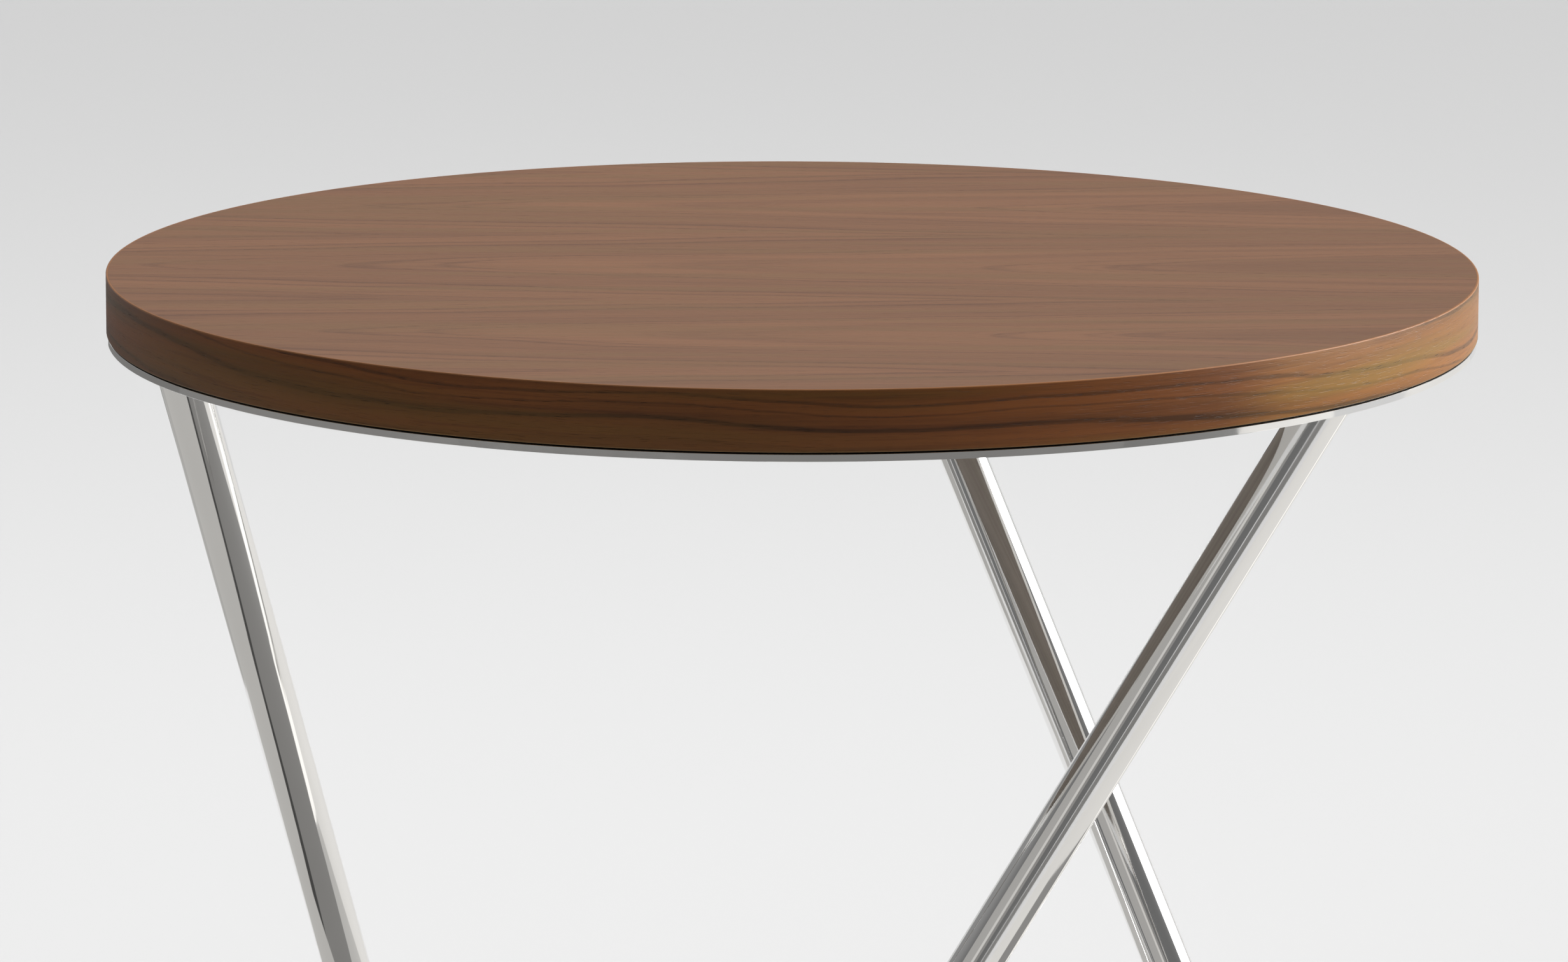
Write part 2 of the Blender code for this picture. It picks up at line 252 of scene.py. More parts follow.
def turned(name, profile, steps, mat, body, replaced, centres=None, closed=False,
           unwrap=False):
    """Equal parts turned from one (radius, height) profile, evenly round the table's axis."""
    first = centres[0] if centres else Vector((0, 0, 0))
    edges = [(i, i + 1) for i in range(len(profile) - 1)]
    if closed:
        edges.append((len(profile) - 1, 0))
    line = bpy.data.meshes.new(name)
    line.from_pydata([(radius - SPINDLE, -height, 0) for radius, height in profile], edges, [])
    piece = bpy.data.objects.new(name, line)
    bpy.context.scene.collection.objects.link(piece)
    lathe = piece.modifiers.new("turned_parts", "NODES")
    lathe.node_group = turning
    for label, value in {"Steps": steps, "Count": len(centres) if centres else 1,
                         "Pitch Radius": math.hypot(first.x, first.y),
                         "First Angle": math.atan2(first.y, first.x), "Material": mat}.items():
        lathe[turning_inputs[label]] = value
    bpy.context.view_layer.update()
    mesh = bpy.data.meshes.new_from_object(piece.evaluated_get(
        bpy.context.evaluated_depsgraph_get()))
    piece.modifiers.clear()
    piece.data = mesh
    mesh.materials.clear()
    mesh.materials.append(mat)
    shape = bmesh.new()
    shape.from_mesh(mesh)
    bmesh.ops.recalc_face_normals(shape, faces=shape.faces)
    for face in shape.faces:
        face.smooth = True
        face.material_index = 0
    if unwrap:
        uv = shape.loops.layers.uv.new("along")
        for face in shape.faces:
            middle = face.calc_center_median()
            middle = math.atan2(middle.x, -middle.y)
            for loop in face.loops:
                turn = math.atan2(loop.vert.co.x, -loop.vert.co.y) - middle
                turn = middle + (turn + math.pi) % (2 * math.pi) - math.pi
                loop[uv].uv = (turn * profile[0][0], loop.vert.co.z)
    shape.to_mesh(mesh)
    shape.free()
    mesh.set_sharp_from_angle(angle=CREASE)
    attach(piece, body)
    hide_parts(*replaced)
    return piece


band_low, band_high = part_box("edge_band")
TRAY_RADIUS = band_high.x
TRAY_TOP = band_high.z
TRAY_UNDER = band_low.z
BAND_THICKNESS = 0.0009
GLUE_LINE = 0.00004
VENEER_THICKNESS = 0.0007
RIM_STEPS = 256
veneer_radius = TRAY_RADIUS - BAND_THICKNESS - GLUE_LINE
top_walnut = walnut_material("walnut_top", "Object", 0.36, 0.25, {
    "Ring_Width": 0.0085, "Arch_Slope": 0.11, "Leaf_Width": 0.085,
    "Dark": (0.112, 0.044, 0.016), "Light": (0.192, 0.082, 0.033), "Olive": (0.149, 0.072, 0.025),
    "Contrast": 0.72}, Specular_IOR_Level=0.33)
turned("tray_top_veneer", [
    (0, TRAY_TOP),
    (veneer_radius, TRAY_TOP),
    (veneer_radius, TRAY_TOP - VENEER_THICKNESS),
    (0, TRAY_TOP - VENEER_THICKNESS),
], RIM_STEPS, top_walnut, "tray", ["top_veneer"])


# ---- Edge band ---------------------------------------------------------------------
# A strip of more strongly figured walnut glued round the board, its grain running along the strip,
# its colours darker than the top's: partly its own wood, partly painted shade for the upright edge.
# Its corners are eased by hand, and its ends meet at the back. Its arrises carry a painted highlight,
# and its right side a stretch that is partly paler wood, partly painted light from the window.

EASED_EDGE = 0.0004


def quarter(centre, radius, start_angle, stop_angle, count=4):
    """Points on a rounded corner of a turned profile."""
    turns = [math.radians(start_angle + (stop_angle - start_angle) * i / count)
             for i in range(count + 1)]
    return [(centre[0] + radius * math.cos(t), centre[1] + radius * math.sin(t)) for t in turns]


# Darker colours than the top's walnut: partly the band's own wood, partly painted shade on the upright edge that
# faces the dark front.
edge_walnut = walnut_material("walnut_edge", "UV", 0.36, 0.8, {
    "Ring_Width": 0.0075, "Arch_Slope": 0.02, "Leaf_Width": 0.3,
    "Dark": (0.057, 0.019, 0.0035), "Light": (0.158, 0.049, 0.009), "Olive": (0.112, 0.055, 0.008),
    "Contrast": 0.95}, Specular_IOR_Level=0.2)
# On the strip's right, where the window's light falls, its colour is multiplied lighter and greyer: partly paler
# wood, partly painted light and sheen from the window.
PALE_AND_LIT_FROM = 0.185        # metres round the strip from its front, where the paler and painted-lit stretch begins
PALE_AND_LIT_TO = 0.235
PALE_AND_LIT_END = 0.55
PALE_AND_LIT_FADE = 0.1
PALE_AND_LIT_GAIN = (1.56, 1.95, 2.0)
# A painted highlight on the band's top and bottom arrises: a lighter colour within this depth of each face,
# standing for the light that the eased edges catch.
ARRIS_HIGHLIGHT_DEPTH = 0.0007
TOP_ARRIS_HIGHLIGHT = (0.30, 0.13, 0.05)
FOOT_ARRIS_HIGHLIGHT = (0.17, 0.11, 0.045)
tree = edge_walnut.node_tree
arris = NodeTree(tree)
along, rise = arris.node("SeparateXYZ", Vector=arris.node("TexCoord").outputs["UV"]).outputs[:2]
pale_and_lit = arris.math("MULTIPLY", arris.ramp(along, PALE_AND_LIT_FROM, PALE_AND_LIT_TO),
                  arris.ramp(along, PALE_AND_LIT_END, PALE_AND_LIT_END + PALE_AND_LIT_FADE, 1.0, 0.0))
# Masks for the painted arris highlights.
upper = arris.ramp(rise, TRAY_TOP - ARRIS_HIGHLIGHT_DEPTH, TRAY_TOP - ARRIS_HIGHLIGHT_DEPTH / 3, 0.0, 0.75)
lower = arris.ramp(rise, TRAY_UNDER + ARRIS_HIGHLIGHT_DEPTH / 3, TRAY_UNDER + ARRIS_HIGHLIGHT_DEPTH, 0.5, 0.0)
tint = tree.nodes["Principled BSDF"].inputs["Base Color"]
figure_and_lit_colour = arris.mix(pale_and_lit, tint.links[0].from_socket, PALE_AND_LIT_GAIN, "MULTIPLY")
with_top_arris_highlight = arris.mix(upper, figure_and_lit_colour, TOP_ARRIS_HIGHLIGHT)
arris.feed(tint, arris.mix(lower, with_top_arris_highlight, FOOT_ARRIS_HIGHLIGHT))
edge_profile = (
    quarter((TRAY_RADIUS - EASED_EDGE, TRAY_TOP - EASED_EDGE), EASED_EDGE, 0, 90)[::-1]
    + quarter((TRAY_RADIUS - EASED_EDGE, TRAY_UNDER + EASED_EDGE), EASED_EDGE, 0, -90)
    + [(TRAY_RADIUS - BAND_THICKNESS, TRAY_UNDER), (TRAY_RADIUS - BAND_THICKNESS, TRAY_TOP)])
turned("tray_edge_band", edge_profile, RIM_STEPS, edge_walnut, "tray", ["edge_band"],
       closed=True, unwrap=True)


# ---- Backing veneer ------------------------------------------------------------------
# Plain walnut on the underside, there to keep the board flat. It is sealed but not
# polished, and it is drilled for the three bushes.

DRILL_PLAY = 0.0002
DRILL_DEPTH = 0.05
DRILL_STEPS = 48
bush_boxes = [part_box(f"stud_bush_{i}") for i in (1, 2, 3)]
bush_centres = [(low + high) / 2 for low, high in bush_boxes]
BUSH_RADIUS = (bush_boxes[0][1].x - bush_boxes[0][0].x) / 2
back_walnut = walnut_material("walnut_backing", "Object", 0.52, 0.4, {
    "Ring_Width": 0.014, "Arch_Slope": 0.02, "Leaf_Width": 0.2,
    "Dark": (0.135, 0.108, 0.088), "Light": (0.215, 0.180, 0.150), "Olive": (0.180, 0.155, 0.120),
    "Contrast": 0.9})


def drilled_disc(name, radius, low, high, steps, holes, hole_radius, mat, body, replaced):
    """A flat disc cut through by round holes, with crisp edges."""
    mesh = bpy.data.meshes.new(name)
    shape = bmesh.new()
    bmesh.ops.create_cone(shape, cap_ends=True, segments=steps, radius1=radius, radius2=radius,
                          depth=high - low, matrix=Matrix.Translation((0, 0, (low + high) / 2)))
    shape.to_mesh(mesh)
    shape.free()
    piece = bpy.data.objects.new(name, mesh)
    bpy.context.scene.collection.objects.link(piece)
    cutter_mesh = bpy.data.meshes.new("drill")
    shape = bmesh.new()
    for centre in holes:
        bmesh.ops.create_cone(shape, cap_ends=True, segments=DRILL_STEPS, radius1=hole_radius,
                              radius2=hole_radius, depth=DRILL_DEPTH,
                              matrix=Matrix.Translation((centre.x, centre.y, low)))
    shape.to_mesh(cutter_mesh)
    shape.free()
    drill = bpy.data.objects.new("drill", cutter_mesh)
    bpy.context.scene.collection.objects.link(drill)
    cut = piece.modifiers.new("holes", "BOOLEAN")
    cut.object = drill
    cut.solver = "EXACT"
    bpy.context.view_layer.update()
    done = bpy.data.meshes.new_from_object(piece.evaluated_get(
        bpy.context.evaluated_depsgraph_get()))
    piece.modifiers.clear()
    piece.data = done
    bpy.data.objects.remove(drill)
    done.materials.clear()
    done.materials.append(mat)
    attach(piece, body)
    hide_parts(replaced)
    return piece


drilled_disc("tray_backing_veneer", veneer_radius, TRAY_UNDER, TRAY_UNDER + VENEER_THICKNESS,
             RIM_STEPS, bush_centres, BUSH_RADIUS + DRILL_PLAY, back_walnut, "tray", "backing_veneer")


# ---- Bushes --------------------------------------------------------------------------
# Three turned brass sleeves pressed into the board from below, at equal steps round it.
# A small lead-in cone guides them over the ring's studs.

polish, mill, start, end = new_group("machined_metal", [
    ("Place", "NodeSocketVector", None),
    ("Metal", "NodeSocketColor", (0.5, 0.5, 0.5, 1)),
    ("Tarnish", "NodeSocketColor", (0.3, 0.3, 0.3, 1)),
    ("Line Scale", "NodeSocketVector", (400.0, 400.0, 4000.0)),
    ("Roughness", "NodeSocketFloat", 0.3),
], [("Color", "NodeSocketColor"), ("Roughness", "NodeSocketFloat"),
    ("Height", "NodeSocketFloat")])
lines = mill.noise(mill.node("VectorMath", {"operation": "MULTIPLY"}, _0=start["Place"],
                             _1=start["Line Scale"]).outputs[0], 1.0, 2.0, 0.6)
smear = mill.noise(start["Place"], 90.0, 3.0, 0.6)
stain = mill.ramp(smear, 0.50, 0.75)
mill.feed(end["Color"], mill.mix(mill.math("MULTIPLY", stain, 0.5), start["Metal"], start["Tarnish"]))
rough = mill.math("ADD", start["Roughness"], mill.math("MULTIPLY_ADD", lines, 0.12, -0.06))
mill.feed(end["Roughness"], mill.math("ADD", rough, mill.math("MULTIPLY", stain, 0.12)))
mill.feed(end["Height"], lines)


TOOL_MARK_RELIEF = 0.00005


def metal_material(name, metal, tarnish, roughness, bump, line_scale=(400.0, 400.0, 4000.0)):
    """Machined metal with fine tool marks and a little tarnish."""
    mat, shader, surface = new_material(name, roughness, 1.0)
    group = shader.node("Group", {"node_tree": polish},
                        Place=shader.node("TexCoord").outputs["Object"], Metal=metal,
                        Tarnish=tarnish, Line_Scale=line_scale, Roughness=roughness)
    shader.feed(surface.inputs["Base Color"], group.outputs["Color"])
    shader.feed(surface.inputs["Roughness"], group.outputs["Roughness"])
    shader.feed(surface.inputs["Normal"], shader.node(
        "Bump", Strength=bump, Distance=TOOL_MARK_RELIEF, Height=group.outputs["Height"]).outputs[0])
    return mat


brass = metal_material("brass", (0.72, 0.52, 0.24), (0.42, 0.27, 0.10), 0.24, 0.3)
BUSH_WALL = 0.0018
BUSH_CONE = 0.0008
BUSH_CHAMFER = 0.0003
SMALL_STEPS = 64
bush_bore = BUSH_RADIUS - BUSH_WALL
low, high = bush_boxes[0]
turned("tray_bushes", [
    (BUSH_RADIUS, high.z),
    (BUSH_RADIUS, low.z + BUSH_CHAMFER),
    (BUSH_RADIUS - BUSH_CHAMFER, low.z),
    (bush_bore + BUSH_CONE, low.z),
    (bush_bore, low.z + BUSH_CONE),
    (bush_bore, high.z),
], SMALL_STEPS, brass, "tray", [f"stud_bush_{i}" for i in (1, 2, 3)], bush_centres,
       closed=True)


# ---- Support ring ----------------------------------------------------------------------
# Laser-cut steel plate, polished all over and chromed, with its corners broken so that
# it does not cut. The tray sits on it and the legs hang from it.

ring_low, ring_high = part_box("support_ring")
RING_OUTER = ring_high.x
RING_INNER = 0.255
BROKEN_CORNER = 0.00012
chrome, plate, surface = new_material("chrome", 0.05, 1.0)
place = plate.node("TexCoord").outputs["Object"]
haze = plate.noise(place, 34.0, 3.0, 0.55)
scuff = plate.noise(place, 260.0, 2.0, 0.6)
plate.feed(surface.inputs["Base Color"], plate.mix(haze, (0.80, 0.795, 0.785), (0.86, 0.855, 0.845)))
plate.feed(surface.inputs["Roughness"], plate.math("MULTIPLY_ADD", plate.ramp(haze, 0.45, 0.75), 0.05,
                                                   plate.math("MULTIPLY", scuff, 0.07)))
stud_boxes = [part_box(f"locating_stud_{i}") for i in (1, 2, 3)]
stud_centres = [(low + high) / 2 for low, high in stud_boxes]
turned("stand_ring", [
    (RING_OUTER - BROKEN_CORNER, ring_high.z),
    (RING_OUTER, ring_high.z - BROKEN_CORNER),
    (RING_OUTER, ring_low.z + BROKEN_CORNER),
    (RING_OUTER - BROKEN_CORNER, ring_low.z),
    (RING_INNER + BROKEN_CORNER, ring_low.z),
    (RING_INNER, ring_low.z + BROKEN_CORNER),
    (RING_INNER, ring_high.z - BROKEN_CORNER),
    (RING_INNER + BROKEN_CORNER, ring_high.z),
], RIM_STEPS, chrome, "stand", ["support_ring"], closed=True)


# ---- Ring gasket -------------------------------------------------------------------------
# A thin black rubber band stuck to the ring, a little inside its edge. It stops the tray
# from ringing on the metal, and leaves the fine dark line under the board.

gasket_low, gasket_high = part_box("ring_gasket")
GASKET_WIDTH = 0.010
GASKET_STEPS = 192
GRIT_RELIEF = 0.0001
rubber, seal, surface = new_material("gasket_rubber", 0.75)
place = seal.node("TexCoord").outputs["Object"]
grit = seal.noise(place, 1800.0, 2.0, 0.6)
seal.feed(surface.inputs["Base Color"], seal.mix(grit, (0.008, 0.008, 0.008), (0.022, 0.022, 0.021)))
seal.feed(surface.inputs["Normal"], seal.node("Bump", Strength=0.4, Distance=GRIT_RELIEF,
                                              Height=grit).outputs[0])
turned("stand_gasket", [
    (gasket_high.x, gasket_high.z),
    (gasket_high.x, gasket_low.z),
    (gasket_high.x - GASKET_WIDTH, gasket_low.z),
    (gasket_high.x - GASKET_WIDTH, gasket_high.z),
], GASKET_STEPS, rubber, "stand", ["ring_gasket"], closed=True)


# ---- Locating studs ------------------------------------------------------------------------
# Turned steel studs riveted through the ring, with a domed head below and a chamfered
# nose above that finds the bush.

steel = metal_material("bare_steel", (0.50, 0.50, 0.49), (0.33, 0.32, 0.30), 0.30, 0.3)
NOSE = 0.0038
SHANK = 0.0030
HEAD = 0.0050
RIVET_PLAY = 0.0003
low, high = stud_boxes[0]
turned("stand_studs", [
    (0, high.z),
    (NOSE * 0.6, high.z),
    (NOSE * 0.88, high.z - NOSE * 0.12),
    (NOSE, high.z - NOSE * 0.35),
    (NOSE, ring_high.z + RIVET_PLAY),
    (SHANK, ring_high.z + RIVET_PLAY),
    (SHANK, ring_low.z - RIVET_PLAY),
    (HEAD, ring_low.z - RIVET_PLAY),
    (HEAD, ring_low.z - 0.0009),
    (HEAD * 0.93, ring_low.z - 0.0016),
    (HEAD * 0.72, ring_low.z - 0.0023),
    (HEAD * 0.40, low.z + 0.0001),
    (0, low.z),
], SMALL_STEPS, steel, "stand", [f"locating_stud_{i}" for i in (1, 2, 3)], stud_centres)


# ---- Leg tubes -------------------------------------------------------------------------------
# Seamless 21.3 mm steel tube, mitred level at both ends, slotted at the top where the
# tongue swings out, polished along its length and chromed.

TUBE_RADIUS = 0.01065
TUBE_WALL = 0.0015
SLOT_HALF = 0.0023
SLOT_FLOOR = 0.0027
SLOT_STEPS = 12
BELT = 0.012             # distance below the pin where the slotted end becomes plain tube
ROUND_STEPS = 72
DRAWN_RELIEF = 0.00004
tube_chrome, plate, surface = new_material("tube_chrome", 0.05, 1.0)
place = plate.node("TexCoord").outputs["UV"]
haze = plate.noise(plate.stretch(place, (30.0, 14.0, 1.0)), 1.0, 3.0, 0.55)
drawn = plate.noise(plate.stretch(place, (2600.0, 9.0, 1.0)), 1.0, 2.0, 0.6)
plate.feed(surface.inputs["Base Color"], plate.mix(haze, (0.82, 0.815, 0.805), (0.88, 0.875, 0.865)))
plate.feed(surface.inputs["Roughness"], plate.math("MULTIPLY_ADD", plate.ramp(haze, 0.45, 0.75), 0.05,
                                                   plate.math("MULTIPLY", drawn, 0.11)))
plate.feed(surface.inputs["Normal"], plate.node("Bump", Strength=0.05, Distance=DRAWN_RELIEF,
                                                Height=drawn).outputs[0])
mounts = {m["name"]: Vector(m["pos_m"]) for m in frame["record"]["mounts"]}
hinges = {j["child"].split("_")[0]: j for j in frame["joints"] if j["type"] == "hinge"}


def leg_place(side):
    """The pin's centre, with X out of the slot, Y along the pin and Z down the tube."""
    pivot = Vector(hinges[side]["pos_m"])
    pin_axis = Vector(hinges[side]["axis"]).normalized()
    tube_axis = (mounts[f"{side}_foot"] - pivot).normalized()
    pin_axis = (pin_axis - pin_axis.dot(tube_axis) * tube_axis).normalized()
    place = Matrix((pin_axis.cross(tube_axis), pin_axis, tube_axis)).transposed().to_4x4()
    place.translation = pivot
    return place


def along_tube(place, x, y, height):
    """How far down the tube a line at (x, y) across it meets a level plane."""
    start = place @ Vector((x, y, 0))
    return (height - start.z) / place.col[2].z


def tube_mesh(name, place, top, bottom):
    """A tube mitred at two heights, with a round-ended slot at the top on its X side."""
    mesh = bpy.data.meshes.new(name)
    shape = bmesh.new()
    uv = shape.loops.layers.uv.new("along")
    length = {}
    rims = []
    for radius in (TUBE_RADIUS, TUBE_RADIUS - TUBE_WALL):
        slot_turn = math.asin(SLOT_HALF / radius)
        slot_turns = [-slot_turn + 2 * slot_turn * i / SLOT_STEPS for i in range(SLOT_STEPS + 1)]
        wall_turns = [slot_turn + (2 * math.pi - 2 * slot_turn) * i / ROUND_STEPS
                      for i in range(ROUND_STEPS + 1)]
        rim = [(t, False) for t in wall_turns] + [(t + 2 * math.pi, True) for t in slot_turns]
        upper, lower, belt = [], [], []
        for turn, in_slot in rim:
            x, y = radius * math.cos(turn), radius * math.sin(turn)
            if in_slot:
                top_z = SLOT_FLOOR + math.sqrt(max(SLOT_HALF ** 2 - y * y, 0))
            else:
                top_z = along_tube(place, x, y, top)
            upper.append(shape.verts.new((x, y, top_z)))
            belt.append(shape.verts.new((x, y, BELT)))
            lower.append(shape.verts.new((x, y, along_tube(place, x, y, bottom))))
        for column, (turn, in_slot) in zip(zip(upper, belt, lower), rim):
            for vert in column:
                length[vert] = turn * TUBE_RADIUS
        rims.append((upper, belt, lower))
    (out_top, out_belt, out_low), (in_top, in_belt, in_low) = rims
    count = len(out_top)

    def skin(corners, smooth):
        face = shape.faces.new(corners)
        face.smooth = smooth
        for loop in face.loops:
            loop[uv].uv = (length[loop.vert], loop.vert.co.z)

    for i in range(count):
        j = (i + 1) % count
        jump = i in (ROUND_STEPS, count - 1)
        if not jump:
            skin((out_top[i], out_top[j], out_belt[j], out_belt[i]), True)
            skin((in_top[j], in_top[i], in_belt[i], in_belt[j]), True)
            skin((out_belt[i], out_belt[j], out_low[j], out_low[i]), True)
            skin((in_belt[j], in_belt[i], in_low[i], in_low[j]), True)
            skin((out_low[i], out_low[j], in_low[j], in_low[i]), False)
        skin((out_top[j], out_top[i], in_top[i], in_top[j]), False)
    bmesh.ops.remove_doubles(shape, verts=shape.verts, dist=WELD)
    bmesh.ops.recalc_face_normals(shape, faces=shape.faces)
    shape.to_mesh(mesh)
    shape.free()
    mesh.set_sharp_from_angle(angle=CREASE)
    mesh.transform(place)
    return mesh


def add_piece(name, mesh, mat, body, replaced):
    mesh.materials.append(mat)
    piece = bpy.data.objects.new(name, mesh)
    bpy.context.scene.collection.objects.link(piece)
    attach(piece, body)
    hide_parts(replaced)
    return piece


SIDES = ("left", "right", "rear")
for side in SIDES:
    low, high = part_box(f"{side}_leg_tube")
    add_piece(f"{side}_tube", tube_mesh(f"{side}_tube", leg_place(side), high.z, low.z),
              tube_chrome, f"{side}_leg", f"{side}_leg_tube")


# ---- Hinges ------------------------------------------------------------------------------------
# Inside each tube's end: a flat tongue welded under the ring, gripped by nylon washers
# between the cheeks of a steel insert, on a pressed-in pin. All machined, none plated.

nylon, washer, surface = new_material("washer_nylon", 0.42)
place = washer.node("TexCoord").outputs["Object"]
milk = washer.noise(place, 500.0, 2.0)
washer.feed(surface.inputs["Base Color"], washer.mix(milk, (0.62, 0.60, 0.54), (0.72, 0.71, 0.66)))
for side in SIDES:
    dress(f"{side}_hinge_tongue", steel)
    dress(f"{side}_hinge_insert", steel)
    dress(f"{side}_hinge_pin", steel)
    dress(f"{side}_outer_friction_washer", nylon)
    dress(f"{side}_inner_friction_washer", nylon)


# ---- Feet --------------------------------------------------------------------------------------
# A moulded black nylon plug closes each tube's lower end, with a level flange under it,
# and a pressed felt pad is stuck below the flange to slide on hard floors.

MOULD_RELIEF = 0.0001
HAIR_RELIEF = 0.0004
foot_black, foot, surface = new_material("foot_nylon", 0.45)
place = foot.node("TexCoord").outputs["Object"]
grain = foot.noise(place, 2400.0, 2.0, 0.6)
foot.feed(surface.inputs["Base Color"], foot.mix(grain, (0.016, 0.016, 0.017), (0.034, 0.034, 0.035)))
foot.feed(surface.inputs["Normal"], foot.node("Bump", Strength=0.3, Distance=MOULD_RELIEF,
                                              Height=grain).outputs[0])
felt, foot, surface = new_material("foot_felt", 0.95, Sheen_Weight=0.4)
place = foot.node("TexCoord").outputs["Object"]
hair = foot.noise(place, 3200.0, 3.0, 0.7)
foot.feed(surface.inputs["Base Color"], foot.mix(hair, (0.045, 0.044, 0.042), (0.13, 0.13, 0.125)))
foot.feed(surface.inputs["Normal"], foot.node("Bump", Strength=0.8, Distance=HAIR_RELIEF,
                                              Height=hair).outputs[0])
FLANGE_CORNER = 0.0004
FELT_EDGE = 0.0002
PLUG_PLAY = 0.0003
PLUG_LEAD = 0.004


def oblique_mesh(name, place, levels, steps=ROUND_STEPS):
    """A solid stretch of the tube's own shape, through levels of (height, radius)."""
    mesh = bpy.data.meshes.new(name)
    shape = bmesh.new()
    rows = []
    for height, radius in levels:
        row = []
        for i in range(steps):
            turn = 2 * math.pi * i / steps
            x, y = radius * math.cos(turn), radius * math.sin(turn)
            row.append(shape.verts.new((x, y, along_tube(place, x, y, height))))
        rows.append(row)
    for upper, lower in zip(rows, rows[1:]):
        for i in range(steps):
            j = (i + 1) % steps
            shape.faces.new((upper[i], lower[i], lower[j], upper[j])).smooth = True
    shape.faces.new(rows[0])
    shape.faces.new(rows[-1][::-1])
    bmesh.ops.recalc_face_normals(shape, faces=shape.faces)
    shape.to_mesh(mesh)
    shape.free()
    mesh.set_sharp_from_angle(angle=CREASE)
    mesh.transform(place)
    return mesh


for side in SIDES:
    place = leg_place(side)
    low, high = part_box(f"{side}_foot_plug")
    flange_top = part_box(f"{side}_leg_tube")[0].z - PLUG_PLAY
    shank_radius = TUBE_RADIUS - TUBE_WALL - PLUG_PLAY
    add_piece(f"{side}_plug", oblique_mesh(f"{side}_plug", place, [
        (high.z - PLUG_LEAD, shank_radius),
        (flange_top, shank_radius),
        (flange_top, TUBE_RADIUS - FLANGE_CORNER),
        (flange_top - FLANGE_CORNER, TUBE_RADIUS),
        (low.z + FLANGE_CORNER, TUBE_RADIUS),
        (low.z, TUBE_RADIUS - FLANGE_CORNER),
    ]), foot_black, f"{side}_leg", f"{side}_foot_plug")
    low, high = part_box(f"{side}_foot_pad")
    add_piece(f"{side}_felt", oblique_mesh(f"{side}_felt", place, [
        (high.z, TUBE_RADIUS - 3 * FELT_EDGE),
        (high.z - 2 * FELT_EDGE, TUBE_RADIUS - FELT_EDGE),
        (low.z + 3 * FELT_EDGE, TUBE_RADIUS),
        (low.z, TUBE_RADIUS - 2 * FELT_EDGE),
    ]), felt, f"{side}_leg", f"{side}_foot_pad")


# ---- Studio --------------------------------------------------------------------------------------
# A pale floor that runs out of sight, one broad window of soft light to the right and a
# softer lamp overhead. Cards on the floor and at the left front glow by themselves and are seen
# by reflections only: painted reflections that give the chrome its dark, grey and bright bands,
# and paint into it the room's dark front and the table's shadow on the floor.

def card(name, corners, mat):
    """A flat sheet given by its corners in turn."""
    mesh = bpy.data.meshes.new(name)
    mesh.from_pydata(corners, [], [tuple(range(len(corners)))])
    mesh.materials.append(mat)
    sheet = bpy.data.objects.new(name, mesh)
    bpy.context.scene.collection.objects.link(sheet)
    return sheet


def level(outline, height):
    """A floor card's corners, from its outline in X and Y."""
    return [(x, y, height) for x, y in outline]


def box_outline(left, near, right, far):
    return [(left, near), (right, near), (right, far), (left, far)]


def upright(from_bearing, to_bearing, distance, top):
    """Corners of a standing card that faces the table, between two bearings from the front."""
    ends = [(distance * math.sin(math.radians(b)), -distance * math.cos(math.radians(b)))
            for b in (from_bearing, to_bearing)]
    return [(*ends[0], 0.01), (*ends[1], 0.01), (*ends[1], top), (*ends[0], top)]


floor_mat, ground, surface = new_material("studio_floor", 0.9)
# The floor's colour darkens from 0.60 to 0.55 between 0.8 m and 4.8 m behind the table: painted shade, standing
# for light that falls off with distance.
depth_for_painted_falloff = ground.node("SeparateXYZ", Vector=ground.node("TexCoord").outputs["Object"]).outputs[1]
ground.feed(surface.inputs["Base Color"], ground.mix(ground.ramp(depth_for_painted_falloff, 0.8, 4.8), (0.60, 0.60, 0.60),
                                                     (0.55, 0.55, 0.55)))
surface.inputs["Specular IOR Level"].default_value = 0.0
card("floor", level(box_outline(-30, -30, 30, 30), 0.0), floor_mat)
FLAG_HEIGHT = 0.002      # floor cards lie in layers this far apart
UPRIGHT_TOP = 2.1
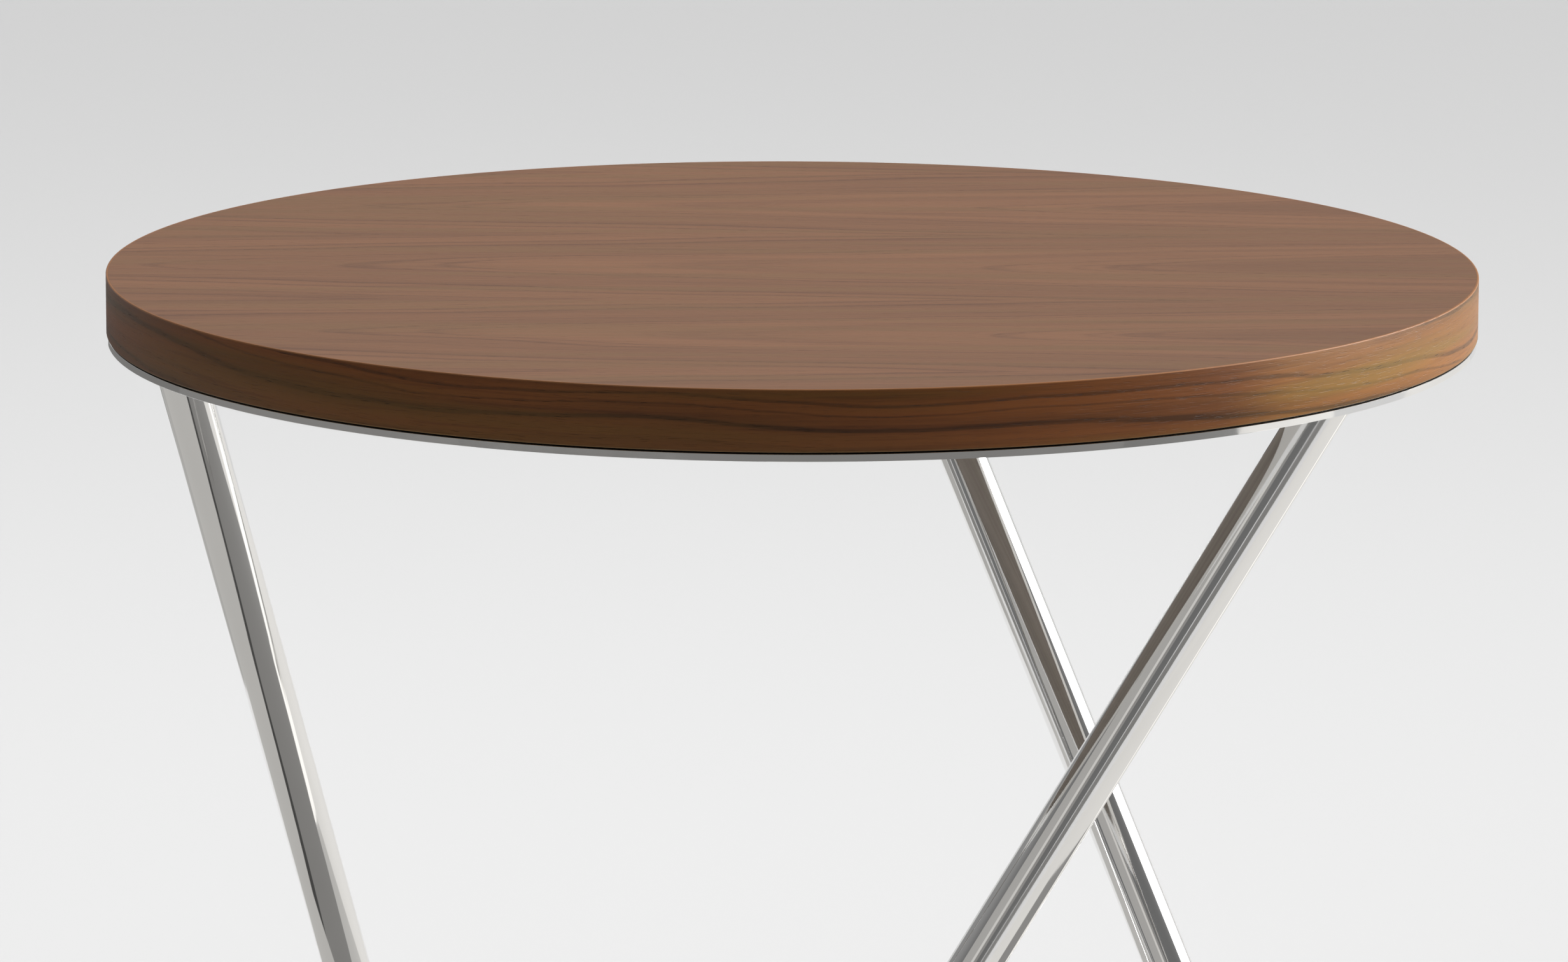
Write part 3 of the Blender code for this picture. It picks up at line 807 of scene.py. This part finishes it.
# Each card glows at the strength given and shows only in reflections, as a painted reflection. The dim cards in
# front and to the left paint a dark room; the grey card at the left and the shade card under the table paint the
# tray's shadow on the floor; the brown and dark cards round the left foot paint the table's shadow there; the
# bright card and the cards under and right of the table paint brightly lit floor; the three standing cards paint
# bright and dim bands at the left front.
CARDS = {
    "front_card": (level(box_outline(-8, -9, 8, -1.65), FLAG_HEIGHT), 0.18),
    "front_right_card": (level(box_outline(1.35, -1.65, 8, -0.72), FLAG_HEIGHT), 0.13),
    "right_card": (level(box_outline(0.75, -0.72, 4, 0.30), 2 * FLAG_HEIGHT), 0.74),
    "left_card": (level(box_outline(-8, -1.65, -1.8, 1.25), FLAG_HEIGHT), 0.20),
    "left_back_card": (level(box_outline(-8, 1.25, -0.75, 4), FLAG_HEIGHT), 0.16),
    "left_shadow_reflection_card": (level(box_outline(-1.8, 0.42, -0.6, 1.25), FLAG_HEIGHT), 0.42),
    "under_card": (level(box_outline(0.10, -0.9, 2.4, 2.4), FLAG_HEIGHT), 0.72),
    "shade_card": (level(box_outline(-1.1, -0.9, 0.10, 0.42), FLAG_HEIGHT), 0.49),
    "table_shadow_reflection_card": (level([(-0.13, -0.30), (0.50, -0.30), (0.46, 0.14), (0.20, 0.005),
                          (0.02, 0.00), (-0.10, 0.05), (-0.31, 0.05), (-0.29, -0.11)],
                         3 * FLAG_HEIGHT), 0.215),
    "dark_shadow_reflection_card": (level([(-0.16, -0.30), (-0.11, -0.30), (-0.265, -0.11), (-0.285, 0.05),
                         (-0.32, 0.05), (-0.30, -0.11)], 4 * FLAG_HEIGHT), 0.05),
    "bright_line_reflection_card": (level([(0.02, 0.00), (0.20, 0.005), (0.46, 0.14), (0.95, 0.50),
                           (0.95, 0.80), (0.58, 0.40), (0.47, 0.25), (0.36, 0.15),
                           (0.125, 0.065)], 4 * FLAG_HEIGHT), 1.15),
    "left_front_card": (upright(-60, -26, 3.0, UPRIGHT_TOP), 0.38),
    "strip_card": (upright(-26, -17, 2.95, UPRIGHT_TOP), 0.62),
    "fall_card": (upright(-17, -8, 2.95, UPRIGHT_TOP), 0.26),
}
# The warm tint of every card's painted reflection.
CARD_TINT = (1.0, 0.98, 0.945, 1)
for name, (corners, glow) in CARDS.items():
    card_mat, _, surface = new_material(name, 0.9)
    surface.inputs["Base Color"].default_value = (0, 0, 0, 1)
    surface.inputs["Emission Color"].default_value = CARD_TINT
    surface.inputs["Emission Strength"].default_value = glow
    sheet = card(name, corners, card_mat)
    sheet.visible_camera = False
    sheet.visible_diffuse = False
    sheet.visible_shadow = False

world = bpy.data.worlds.new("studio")
bpy.context.scene.world = world
world.use_nodes = True
sky = NodeTree(world.node_tree)
direction = sky.node("SeparateXYZ", Vector=sky.node("TexCoord").outputs["Generated"]).outputs
bearing = sky.math("ARCTAN2", direction[0], sky.math("MULTIPLY", direction[1], -1.0))
WINDOW_FROM = math.radians(84)
WINDOW_TO = math.radians(118)
WINDOW_FADE = math.radians(26)
SOFT_SIDE = math.radians(8)
WINDOW_GLOW = 13.0
window = sky.math("MULTIPLY", sky.ramp(bearing, WINDOW_FROM - SOFT_SIDE, WINDOW_FROM + SOFT_SIDE),
                  sky.ramp(bearing, WINDOW_TO, WINDOW_TO + WINDOW_FADE, 1.0, 0.0))
window = sky.math("MULTIPLY", window, sky.math(
    "MULTIPLY", sky.ramp(direction[2], 0.0, 0.08), sky.ramp(direction[2], 0.66, 0.80, 1.0, 0.0)))
around = sky.ramp(direction[1], -0.6, 0.3, 0.16, 0.28)
horizon = sky.math("MULTIPLY", sky.ramp(direction[2], 0.07, 0.16, 0.45, 0.0),
                   sky.ramp(direction[1], 0.5, 0.8))
glow = sky.math("MULTIPLY_ADD", window, WINDOW_GLOW, sky.math("ADD", around, horizon))
background = world.node_tree.nodes["Background"]
sky.feed(background.inputs["Strength"], glow)
background.inputs["Color"].default_value = (1, 1, 1, 1)


def soft_light(name, centre, aim, width, height, radiance):
    """A rectangular light of one brightness all over its face."""
    light = bpy.data.lights.new(name, "AREA")
    light.shape = "RECTANGLE"
    light.size = width
    light.size_y = height
    light.energy = radiance * width * height * math.pi
    lamp = bpy.data.objects.new(name, light)
    lamp.location = centre
    lamp.rotation_euler = (Vector(aim) - Vector(centre)).to_track_quat("-Z", "Y").to_euler()
    bpy.context.scene.collection.objects.link(lamp)
    return lamp


soft_light("overhead", (0, 0.9, 2.7), (0, 0.6, 0), 2.2, 2.2, 1.7)
bpy.context.scene.view_settings.view_transform = "Standard"

CAMERA_SIDE = 0.001
CAMERA_DISTANCE = 3.6
CAMERA_HEIGHT = 1.1043
CAMERA_TURN = 0.0012     # radians, like the two after it
CAMERA_DIP = 0.1921
CAMERA_ROLL = 0.0034
FOCAL_LENGTH = 191.17
lens = bpy.data.cameras.new("camera")
lens.sensor_width = 36.0
lens.lens = FOCAL_LENGTH
camera = bpy.data.objects.new("camera", lens)
camera.matrix_world = (Matrix.Translation((CAMERA_SIDE, -CAMERA_DISTANCE, CAMERA_HEIGHT))
                       @ Matrix.Rotation(CAMERA_TURN, 4, "Z")
                       @ Matrix.Rotation(math.pi / 2 - CAMERA_DIP, 4, "X")
                       @ Matrix.Rotation(CAMERA_ROLL, 4, "Z"))
lens.clip_end = 100.0
bpy.context.scene.collection.objects.link(camera)
bpy.context.scene.camera = camera

bpy.context.view_layer.update()
